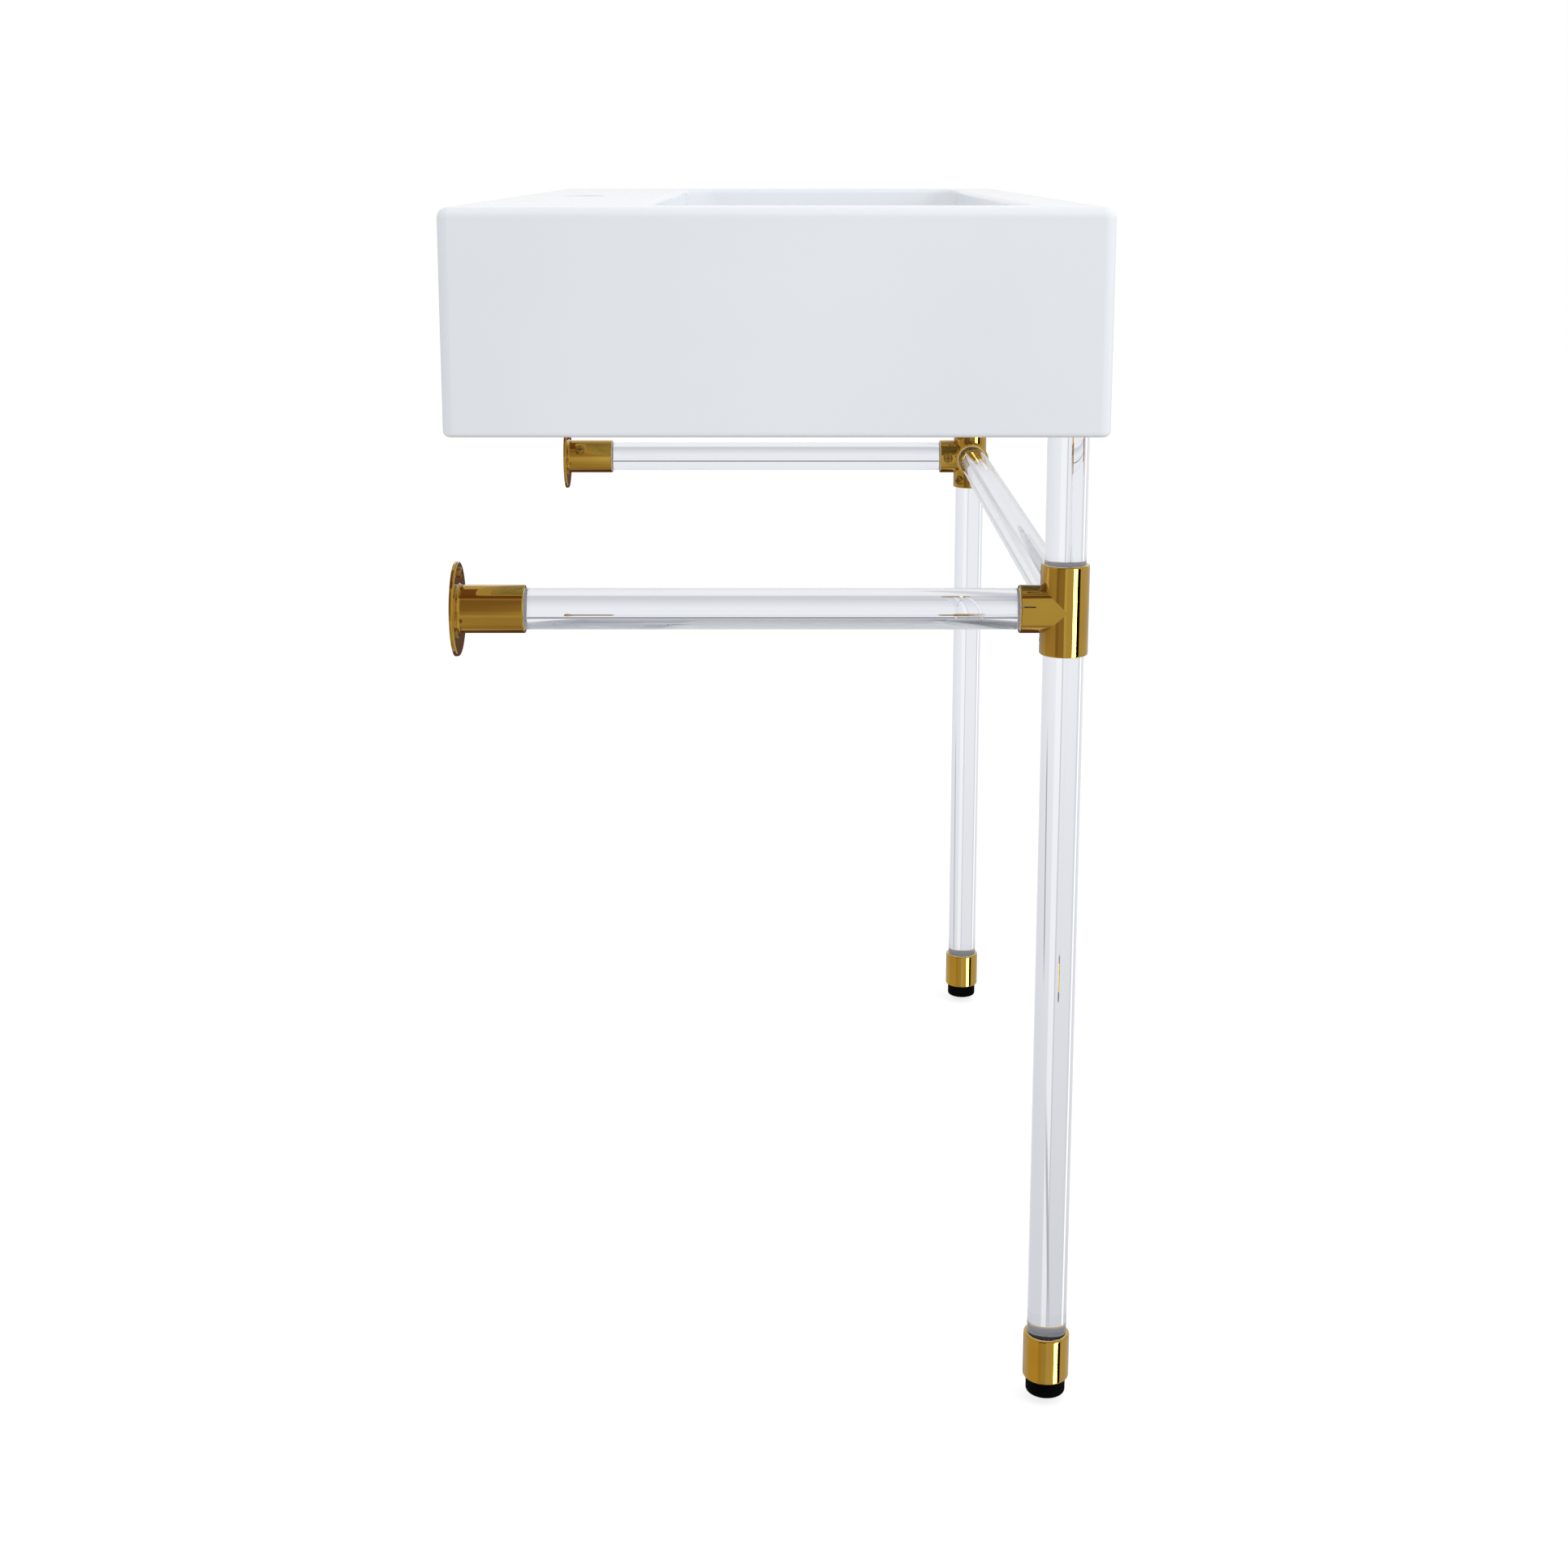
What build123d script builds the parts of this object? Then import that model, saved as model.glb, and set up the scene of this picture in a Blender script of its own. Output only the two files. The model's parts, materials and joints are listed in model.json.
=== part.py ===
from build123d import *
import os

# A console washbasin in glazed ceramic, fixed to the wall along its back and carried at the front
# on two legs of clear rod. Millimetres, X to the right, Y towards the wall, Z up. The origin is
# midway between the two wall-bolt holes, on the plane of the wall.

# Ceramic sink, outside
sink_width = 914.0
sink_depth = 463.5
sink_height = 157.0
rim_height = 903.0  # floor to the top of the sink
corner_round = 8.0
top_round = 6.5
bottom_round = 4.0
side_wall = 12.0
deck_thickness = 14.0

# Bowl
bowl_length = 770.0
bowl_width = 282.0
front_rim = 47.0
bowl_depth = 104.0  # down to the foot of its walls
floor_fall = 8.0  # further fall of its floor to the drain
bowl_corner = 28.0
bowl_draft = 12.0  # how far each wall leans in from rim to floor
floor_corner = 42.0
floor_round = 24.0
bowl_wall = 12.0
rim_round = 4.0

# Holes in the ceramic
faucet_hole = 35.0
faucet_setback = 61.0
drain_hole = 45.0
drain_boss_wall = 9.0
drain_seat = 66.0
drain_seat_depth = 3.0
drain_flat = 84.0
drain_flat_corner = 32.0
overflow_hole = 22.0
overflow_drop = 32.0
channel_width = 28.0
channel_gap = 8.0
channel_wall = 7.0
wall_bolt_spacing = 280.0
wall_bolt_hole = 14.0
wall_bolt_rise = 85.0  # above the sink's underside
bolt_pad = 52.0
bolt_pad_thickness = 6.0

# Seats of the legs in the underside of the sink
leg_side_inset = 42.0
leg_front_inset = 24.5
leg_seat_depth = 8.0
leg_seat_clearance = 1.5
leg_seat_wall = 8.0
leg_pad_thickness = 2.0

# Rods and fittings
rod_diameter = 30.0
rod_clearance = 0.1
rod_chamfer = 0.6
fitting_wall = 2.4
mouth_round = 1.0
rail_drop = 129.0  # rail axis below the sink's underside
tee_reach = 33.0
tee_socket_depth = 16.0
slit_width = 1.0
slit_length = 10.5
slit_angle = 15.0

# Wall flanges
flange_diameter = 68.5
flange_thickness = 3.0
flange_reach = 50.5
flange_floor = 8.0
flange_edge_round = 1.3
flange_root_round = 2.0
wall_screw_circle = 53.0
wall_screw_count = 3

# Clamping screws and wall screws
screw_setback = 8.0  # clamping screw in from the mouth of a tee socket
tee_screw_angle = 45.0
flange_screw_setback = 34.5
flange_screw_angle = 31.0
screw_head = 10.0
screw_head_height = 2.6
screw_shank = 5.0
screw_clearance = 0.05
spot_face_margin = 0.5
spot_face_depth = 0.75
wall_screw_head = 8.0
wall_screw_head_height = 2.2
wall_screw_shank = 4.2
wall_screw_clearance = 0.2
head_round = 1.4
cross_width = 1.2
cross_span = 0.62  # share of the head that the cross recess spans
cross_depth = 1.2

# Feet
foot_gap = 13.0  # floor to the underside of the collar
collar_length = 36.0
collar_socket_depth = 7.0
collar_core = 16.0
collar_round = 1.2
foot_diameter = 30.2
foot_height = 20.0
foot_round = 2.0
foot_clearance = 0.3
stud_diameter = 10.0
stud_clearance = 0.06
stud_base = 8.0
stud_top = 36.0
stud_chamfer = 0.8

# Levels and places worked out from the sizes above
sink_bottom = -wall_bolt_rise
sink_top = sink_bottom + sink_height
floor_level = sink_top - rim_height
rail_level = sink_bottom - rail_drop
leg_x = sink_width / 2 - leg_side_inset
leg_y = -(sink_depth - leg_front_inset)
bowl_y = -(sink_depth - front_rim - bowl_width / 2)
bowl_rear = bowl_y + bowl_width / 2
floor_top = sink_top - bowl_depth - floor_fall
floor_under = floor_top - bowl_wall
channel_floor = floor_under - channel_gap
seat_level = sink_bottom + leg_seat_depth
rod_radius = rod_diameter / 2
socket_radius = rod_radius + rod_clearance
fitting_radius = socket_radius + fitting_wall
tee_stop = tee_reach - tee_socket_depth
collar_bottom = floor_level + foot_gap
collar_top = collar_bottom + collar_length
leg_rod_end = collar_top - collar_socket_depth
core_bottom = leg_rod_end - collar_core


def bowl_form(grow):
    # The bowl as a solid, grown outwards by a wall: drafted walls, then a floor that falls to a
    # flat around the drain, with the foot of the walls rounded.
    foot_level = sink_top - bowl_depth - grow
    with BuildPart() as form:
        with BuildSketch(Plane.XY.offset(sink_top)):
            with Locations((0, bowl_y)):
                RectangleRounded(bowl_length + 2 * grow, bowl_width + 2 * grow, bowl_corner + grow)
        with BuildSketch(Plane.XY.offset(foot_level)):
            with Locations((0, bowl_y)):
                RectangleRounded(
                    bowl_length + 2 * (grow - bowl_draft),
                    bowl_width + 2 * (grow - bowl_draft),
                    floor_corner + grow,
                )
        loft()
        with BuildSketch(Plane.XY.offset(foot_level)):
            with Locations((0, bowl_y)):
                RectangleRounded(
                    bowl_length + 2 * (grow - bowl_draft),
                    bowl_width + 2 * (grow - bowl_draft),
                    floor_corner + grow,
                )
        with BuildSketch(Plane.XY.offset(foot_level - floor_fall)):
            with Locations((0, bowl_y)):
                RectangleRounded(drain_flat + 2 * grow, drain_flat + 2 * grow, drain_flat_corner + grow)
        loft()
        foot_edges = form.edges().filter_by_position(Axis.Z, foot_level - 0.01, foot_level + 0.01)
        fillet(foot_edges, floor_round + grow)
    return form.part


def channel_form(wall):
    # The overflow channel: down behind the bowl's rear wall, then forward under its floor to the
    # drain. With a wall it is the solid around the channel.
    back = bowl_rear + bowl_wall + channel_gap + wall
    top = sink_top - overflow_drop + overflow_hole / 2 + wall
    with BuildPart() as form:
        with BuildSketch(Plane.YZ.offset(-channel_width / 2 - wall)):
            with BuildLine():
                Polyline(
                    (bowl_y, floor_under + wall),
                    (bowl_y, channel_floor - wall),
                    (back, channel_floor - wall),
                    (back, top),
                    (back - channel_gap - 2 * wall, top),
                    (back - channel_gap - 2 * wall, floor_under + wall),
                    close=True,
                )
            make_face()
        extrude(amount=channel_width + 2 * wall)
    return form.part


def basin_hollow():
    # The space inside the outer walls, open below, around the bowl and everything that hangs in it.
    inner_width = sink_width - 2 * side_wall
    inner_depth = sink_depth - 2 * side_wall
    post = 2 * (rod_radius + leg_seat_clearance + leg_seat_wall)
    with BuildPart() as hollow:
        with BuildSketch(Plane.XY.offset(sink_bottom)):
            with Locations((0, -sink_depth / 2)):
                Rectangle(inner_width, inner_depth)
        extrude(amount=sink_height - deck_thickness)
        add(bowl_form(bowl_wall), mode=Mode.SUBTRACT)
        with BuildSketch(Plane.XY.offset(sink_bottom)):
            for side in (-1, 1):
                with Locations((side * leg_x, leg_y)):
                    Rectangle(post, post)
                with Locations((side * (leg_x + leg_side_inset / 2), leg_y - leg_front_inset / 2)):
                    Rectangle(leg_side_inset, leg_front_inset)
        extrude(amount=sink_height, mode=Mode.SUBTRACT)
        with BuildSketch(Plane.XY.offset(channel_floor - channel_wall)):
            with Locations((0, bowl_y)):
                Circle(drain_hole / 2 + drain_boss_wall)
        extrude(until=Until.LAST, mode=Mode.SUBTRACT)
        add(channel_form(channel_wall), mode=Mode.SUBTRACT)
        with BuildSketch(Plane.XZ.offset(side_wall)):
            with GridLocations(wall_bolt_spacing, 0, 2, 1):
                Circle(bolt_pad / 2)
        extrude(amount=bolt_pad_thickness, mode=Mode.SUBTRACT)
    return hollow.part


def basin():
    with BuildPart() as sink:
        with BuildSketch(Plane.XY.offset(sink_bottom)):
            with Locations((0, -sink_depth / 2)):
                RectangleRounded(sink_width, sink_depth, corner_round)
        extrude(amount=sink_height)
        fillet(sink.edges().group_by(Axis.Z)[-1], top_round)
        fillet(sink.edges().group_by(Axis.Z)[0], bottom_round)
        add(bowl_form(0), mode=Mode.SUBTRACT)
        opening = sink.faces().filter_by(Plane.XY).sort_by(Axis.Z)[-1].inner_wires()[0].edges()
        fillet(opening, rim_round)
        add(basin_hollow(), mode=Mode.SUBTRACT)
        with BuildSketch(Plane.XY.offset(floor_top)):
            with Locations((0, bowl_y)):
                Circle(drain_seat / 2)
        extrude(amount=-drain_seat_depth, mode=Mode.SUBTRACT)
        with BuildSketch(Plane.XY.offset(channel_floor - channel_wall)):
            with Locations((0, bowl_y)):
                Circle(drain_hole / 2)
        extrude(amount=floor_top - channel_floor + channel_wall, mode=Mode.SUBTRACT)
        add(channel_form(0), mode=Mode.SUBTRACT)
        with BuildSketch(Plane.XZ.offset(-bowl_rear - bowl_wall - channel_gap / 2)):
            with Locations((0, sink_top - overflow_drop)):
                Circle(overflow_hole / 2)
        extrude(amount=bowl_wall + bowl_draft + channel_gap, mode=Mode.SUBTRACT)
        with BuildSketch(Plane.XY.offset(sink_top)):
            with Locations((0, -faucet_setback)):
                Circle(faucet_hole / 2)
        extrude(amount=-deck_thickness, mode=Mode.SUBTRACT)
        with BuildSketch(Plane.XZ):
            with GridLocations(wall_bolt_spacing, 0, 2, 1):
                Circle(wall_bolt_hole / 2)
        extrude(amount=side_wall + bolt_pad_thickness, mode=Mode.SUBTRACT)
        with BuildSketch(Plane.XY.offset(sink_bottom)):
            with Locations((-leg_x, leg_y), (leg_x, leg_y)):
                Circle(rod_radius + leg_seat_clearance)
        extrude(amount=leg_seat_depth, mode=Mode.SUBTRACT)
    return sink.part


def leg_pad(side):
    with BuildPart() as pad:
        with BuildSketch(Plane.XY.offset(seat_level - leg_pad_thickness)):
            with Locations((side * leg_x, leg_y)):
                Circle(rod_radius)
        extrude(amount=leg_pad_thickness)
    return pad.part


def rod(start_plane, length):
    # A clear rod that stands on a plane, with both ends lightly chamfered.
    with BuildPart() as bar:
        with BuildSketch(start_plane):
            Circle(rod_radius)
        extrude(amount=length)
        chamfer(bar.edges().filter_by(GeomType.CIRCLE), rod_chamfer)
    return bar.part


def upper_rod(side):
    start = rail_level + tee_stop
    return rod(Plane(origin=(side * leg_x, leg_y, start)), seat_level - leg_pad_thickness - start)


def leg_rod(side):
    length = rail_level - tee_stop - leg_rod_end
    return rod(Plane(origin=(side * leg_x, leg_y, leg_rod_end)), length)


def side_rod(side):
    start = Plane(origin=(side * leg_x, leg_y + tee_stop, rail_level), x_dir=(1, 0, 0), z_dir=(0, 1, 0))
    return rod(start, -leg_y - tee_stop - flange_floor)


def cross_rod():
    start = Plane(origin=(-leg_x + tee_stop, leg_y, rail_level), x_dir=(0, 1, 0), z_dir=(1, 0, 0))
    return rod(start, 2 * (leg_x - tee_stop))


def screw_seat(axis_point, outward):
    # The flat that a clamping screw's head sits on, just below the crest of a round socket.
    outward = Vector(*outward).normalized()
    return Plane(origin=axis_point + outward * (fitting_radius - spot_face_depth), z_dir=outward)


def tee_screw_seats(side):
    centre = Vector(side * leg_x, leg_y, rail_level)
    reach = tee_reach - screw_setback
    diagonal = Vector(-side, 0, 0).rotate(Axis.Z, -side * tee_screw_angle)
    return [
        screw_seat(centre + Vector(0, 0, reach), diagonal),
        screw_seat(centre - Vector(0, 0, reach), diagonal),
        screw_seat(centre + Vector(0, reach, 0), Vector(-side, 0, 0)),
        screw_seat(centre + Vector(-side * reach, 0, 0), Vector(0, 0, -1)),
    ]


def flange_screw_seat(side):
    axis_point = Vector(side * leg_x, flange_screw_setback - flange_reach, rail_level)
    return screw_seat(axis_point, Vector(-side, 0, 0).rotate(Axis.Y, side * flange_screw_angle))


def screw_cuts(seats):
    # What is cut away for clamping screws: a spot face and a threaded hole on each seat.
    with BuildPart() as cuts:
        with BuildSketch(*seats):
            Circle(screw_head / 2 + spot_face_margin)
        extrude(amount=fitting_wall)
        with BuildSketch(*seats):
            Circle(screw_shank / 2 + screw_clearance)
        extrude(amount=-fitting_wall)
    return cuts.part


def tee(side):
    centre = (side * leg_x, leg_y, rail_level)
    upward = Plane(origin=centre, x_dir=(1, 0, 0), z_dir=(0, 0, 1))
    downward = Plane(origin=centre, x_dir=(1, 0, 0), z_dir=(0, 0, -1))
    rearward = Plane(origin=centre, x_dir=(1, 0, 0), z_dir=(0, 1, 0))
    inward = Plane(origin=centre, x_dir=(0, 1, 0), z_dir=(-side, 0, 0))
    sockets = (upward, downward, rearward, inward)
    slit_side = Vector(side, 0, 0).rotate(Axis.Y, -side * slit_angle)
    slit = Plane(origin=centre, x_dir=(0, 1, 0), z_dir=slit_side)
    with BuildPart() as fitting:
        with BuildSketch(upward):
            Circle(fitting_radius)
        extrude(amount=tee_reach, both=True)
        for socket in (rearward, inward):
            with BuildSketch(socket):
                Circle(fitting_radius)
            extrude(amount=tee_reach)
        mouths = [edge for edge in fitting.edges().filter_by(GeomType.CIRCLE) if edge.is_closed]
        fillet(mouths, mouth_round)
        for socket in sockets:
            with BuildSketch(socket.offset(tee_stop)):
                Circle(socket_radius)
            extrude(amount=tee_socket_depth, mode=Mode.SUBTRACT)
        with BuildSketch(slit):
            with Locations((tee_reach - slit_length / 2, 0)):
                Rectangle(slit_length, slit_width)
        extrude(amount=fitting_radius, mode=Mode.SUBTRACT)
        add(screw_cuts(tee_screw_seats(side)), mode=Mode.SUBTRACT)
    return fitting.part


def wall_flange(side):
    wall = Plane(origin=(side * leg_x, 0, rail_level), x_dir=(1, 0, 0), z_dir=(0, -1, 0))
    with BuildPart() as flange:
        with BuildSketch(wall):
            Circle(flange_diameter / 2)
        extrude(amount=flange_thickness)
        fillet(flange.edges().sort_by(Axis.Y)[0], flange_edge_round)
        with BuildSketch(wall.offset(flange_thickness)):
            Circle(fitting_radius)
        extrude(amount=flange_reach - flange_thickness)
        root = flange.edges().filter_by_position(Axis.Y, -flange_thickness - 0.01, -flange_thickness + 0.01)
        fillet(root.sort_by(SortBy.LENGTH)[0], flange_root_round)
        fillet(flange.edges().sort_by(Axis.Y)[0], mouth_round)
        with BuildSketch(wall.offset(flange_floor)):
            Circle(socket_radius)
        extrude(amount=flange_reach - flange_floor, mode=Mode.SUBTRACT)
        with BuildSketch(wall):
            with PolarLocations(wall_screw_circle / 2, wall_screw_count, start_angle=90):
                Circle(wall_screw_shank / 2 + wall_screw_clearance)
        extrude(amount=flange_thickness, mode=Mode.SUBTRACT)
        add(screw_cuts([flange_screw_seat(side)]), mode=Mode.SUBTRACT)
    return flange.part


def foot_collar(side):
    base = Plane(origin=(side * leg_x, leg_y, collar_bottom))
    with BuildPart() as collar:
        with BuildSketch(base):
            Circle(fitting_radius)
        extrude(amount=collar_length)
        fillet(collar.edges().filter_by(GeomType.CIRCLE), collar_round)
        with BuildSketch(base):
            Circle(foot_diameter / 2 + foot_clearance)
        extrude(amount=core_bottom - collar_bottom, mode=Mode.SUBTRACT)
        with BuildSketch(base):
            Circle(stud_diameter / 2 + stud_clearance)
        extrude(amount=collar_length, mode=Mode.SUBTRACT)
        with BuildSketch(base.offset(collar_length)):
            Circle(socket_radius)
        extrude(amount=-collar_socket_depth, mode=Mode.SUBTRACT)
    return collar.part


def levelling_foot(side):
    ground = Plane(origin=(side * leg_x, leg_y, floor_level))
    with BuildPart() as foot:
        with BuildSketch(ground):
            Circle(foot_diameter / 2)
        extrude(amount=foot_height)
        fillet(foot.edges().sort_by(Axis.Z)[0], foot_round)
        with BuildSketch(ground.offset(stud_base)):
            Circle(stud_diameter / 2)
        extrude(amount=foot_height - stud_base, mode=Mode.SUBTRACT)
    return foot.part


def foot_stud(side):
    with BuildPart() as stud:
        with BuildSketch(Plane(origin=(side * leg_x, leg_y, floor_level + stud_base))):
            Circle(stud_diameter / 2)
        extrude(amount=stud_top - stud_base)
        chamfer(stud.edges().sort_by(Axis.Z)[-1], stud_chamfer)
    return stud.part


def pan_screw(head, head_height, shank, shank_length):
    # One cross-head pan screw, its head standing on the XY plane.
    with BuildPart() as screw:
        with BuildSketch():
            Circle(head / 2)
        extrude(amount=head_height)
        fillet(screw.edges().sort_by(Axis.Z)[-1], head_round)
        with BuildSketch():
            Circle(shank / 2)
        extrude(amount=-shank_length)
        with BuildSketch(Plane.XY.offset(head_height)):
            Rectangle(head * cross_span, cross_width)
            Rectangle(cross_width, head * cross_span)
        extrude(amount=-cross_depth, mode=Mode.SUBTRACT)
    return screw.part


def screws(seats, head, head_height, shank, shank_length):
    # Identical screws, one on each seat, heads outwards.
    with BuildPart() as group:
        with Locations(*seats):
            add(pan_screw(head, head_height, shank, shank_length))
    return group.part


def tee_screws(side):
    bite = fitting_radius - spot_face_depth - rod_radius
    return screws(tee_screw_seats(side), screw_head, screw_head_height, screw_shank, bite)


def flange_set_screw(side):
    bite = fitting_radius - spot_face_depth - rod_radius
    return screws([flange_screw_seat(side)], screw_head, screw_head_height, screw_shank, bite)


def wall_screws(side):
    face = Plane(origin=(side * leg_x, -flange_thickness, rail_level), x_dir=(1, 0, 0), z_dir=(0, -1, 0))
    places = PolarLocations(wall_screw_circle / 2, wall_screw_count, start_angle=90)
    seats = [Plane(face.location * place) for place in places.local_locations]
    return screws(seats, wall_screw_head, wall_screw_head_height, wall_screw_shank, flange_thickness)


pieces = {"basin": basin(), "cross_rod": cross_rod()}
for hand, side in (("left", -1), ("right", 1)):
    pieces[hand + "_leg_pad"] = leg_pad(side)
    pieces[hand + "_upper_rod"] = upper_rod(side)
    pieces[hand + "_leg_rod"] = leg_rod(side)
    pieces[hand + "_side_rod"] = side_rod(side)
    pieces[hand + "_tee"] = tee(side)
    pieces[hand + "_tee_screws"] = tee_screws(side)
    pieces[hand + "_wall_flange"] = wall_flange(side)
    pieces[hand + "_flange_set_screw"] = flange_set_screw(side)
    pieces[hand + "_wall_screws"] = wall_screws(side)
    pieces[hand + "_foot_collar"] = foot_collar(side)
    pieces[hand + "_levelling_foot"] = levelling_foot(side)
    pieces[hand + "_foot_stud"] = foot_stud(side)

os.makedirs("parts", exist_ok=True)
for name, piece in pieces.items():
    piece.label = name
    export_step(piece, "parts/" + name + ".step")
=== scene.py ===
import json
import math

import bpy
import numpy as np
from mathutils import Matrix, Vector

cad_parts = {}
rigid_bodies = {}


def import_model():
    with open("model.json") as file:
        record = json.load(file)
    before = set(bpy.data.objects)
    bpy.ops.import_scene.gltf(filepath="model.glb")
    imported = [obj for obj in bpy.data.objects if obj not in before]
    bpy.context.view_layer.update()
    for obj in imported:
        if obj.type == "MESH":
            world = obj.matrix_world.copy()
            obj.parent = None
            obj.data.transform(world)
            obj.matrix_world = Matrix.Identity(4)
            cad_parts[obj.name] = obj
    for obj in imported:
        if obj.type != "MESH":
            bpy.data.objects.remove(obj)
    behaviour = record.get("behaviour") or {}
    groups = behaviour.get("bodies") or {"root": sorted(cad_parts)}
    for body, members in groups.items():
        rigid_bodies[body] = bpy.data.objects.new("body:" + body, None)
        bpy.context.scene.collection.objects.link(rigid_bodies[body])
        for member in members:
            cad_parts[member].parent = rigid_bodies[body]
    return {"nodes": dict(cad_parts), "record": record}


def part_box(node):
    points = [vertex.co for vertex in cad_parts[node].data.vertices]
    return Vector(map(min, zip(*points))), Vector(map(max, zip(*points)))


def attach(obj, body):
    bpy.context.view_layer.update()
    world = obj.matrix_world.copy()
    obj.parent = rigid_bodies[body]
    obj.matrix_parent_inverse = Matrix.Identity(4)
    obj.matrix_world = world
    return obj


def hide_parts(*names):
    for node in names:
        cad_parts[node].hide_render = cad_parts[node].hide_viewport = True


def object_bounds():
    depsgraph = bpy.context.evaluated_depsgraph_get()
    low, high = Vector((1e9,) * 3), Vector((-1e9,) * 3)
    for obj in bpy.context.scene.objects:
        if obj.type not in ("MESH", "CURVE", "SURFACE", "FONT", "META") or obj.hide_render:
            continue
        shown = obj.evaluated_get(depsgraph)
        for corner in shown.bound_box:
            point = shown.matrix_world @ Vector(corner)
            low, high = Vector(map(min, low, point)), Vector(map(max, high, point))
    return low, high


for leftOver in list(bpy.data.objects):
    bpy.data.objects.remove(leftOver)
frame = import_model()
cadBox = [list(corner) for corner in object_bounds()]
print("basin scene: the packed model is in")


cameraValues = {
    "place": (-1.983, -0.2368, 0.106),  # metres, beside the basin's left end and just above its rim
    "heading": -90,                     # degrees, towards the right end
    "tiltDown": 11.2,                   # degrees below level
    "lens": 50.95,                      # millimetres
    "sensor": 36,                       # millimetres
    "shiftUp": -0.12,                   # share of the frame's width
    "nearClip": 0.05,                   # metres
}


def makeCamera(values):
    cameraData = bpy.data.cameras.new("photoCamera")
    cameraData.lens = values["lens"]
    cameraData.sensor_width = values["sensor"]
    cameraData.shift_y = values["shiftUp"]
    cameraData.clip_start = values["nearClip"]
    cameraData.dof.use_dof = False
    camera = bpy.data.objects.new("photoCamera", cameraData)
    camera.location = values["place"]
    camera.rotation_euler = (math.radians(90 - values["tiltDown"]), 0, math.radians(values["heading"]))
    bpy.context.scene.collection.objects.link(camera)
    bpy.context.scene.camera = camera


makeCamera(cameraValues)
bpy.context.scene.view_settings.view_transform = "Standard"
print("basin scene: camera set")


class NodeSketch:
    # A short way to write node trees: most calls add one node and hand back its first output.
    def __init__(self, tree):
        self.tree = tree

    def node(self, kind, **settings):
        made = self.tree.nodes.new(kind)
        for name, value in settings.items():
            setattr(made, name, value)
        return made

    def feed(self, socket, value):
        if isinstance(value, bpy.types.NodeSocket):
            self.tree.links.new(value, socket)
        else:
            socket.default_value = value

    def sums(self, operation, *values):
        made = self.node("ShaderNodeMath", operation=operation)
        for socket, value in zip(made.inputs, values):
            self.feed(socket, value)
        return made.outputs[0]

    def between(self, value, fromLow, fromHigh, toLow=0.0, toHigh=1.0, smooth=True):
        made = self.node("ShaderNodeMapRange", interpolation_type="SMOOTHSTEP" if smooth else "LINEAR")
        for socket, given in zip(made.inputs, (value, fromLow, fromHigh, toLow, toHigh)):
            self.feed(socket, given)
        return made.outputs[0]

    def blendColours(self, share, first, second):
        made = self.node("ShaderNodeMix", data_type="RGBA")
        self.feed(made.inputs[0], share)
        self.feed(made.inputs[6], first)
        self.feed(made.inputs[7], second)
        return made.outputs[2]

    def noise(self, place, scale, detail):
        made = self.node("ShaderNodeTexNoise")
        self.feed(made.inputs["Vector"], place)
        self.feed(made.inputs["Scale"], scale)
        made.inputs["Detail"].default_value = detail
        return made.outputs[0]

    def stretched(self, place, scale, turn):
        made = self.node("ShaderNodeMapping")
        self.feed(made.inputs["Vector"], place)
        made.inputs["Scale"].default_value = scale
        made.inputs["Rotation"].default_value = turn
        return made.outputs[0]

    def split(self, vector):
        made = self.node("ShaderNodeSeparateXYZ")
        self.feed(made.inputs[0], vector)
        return made.outputs

    def objectPlace(self):
        return self.node("ShaderNodeTexCoord").outputs["Object"]


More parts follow.
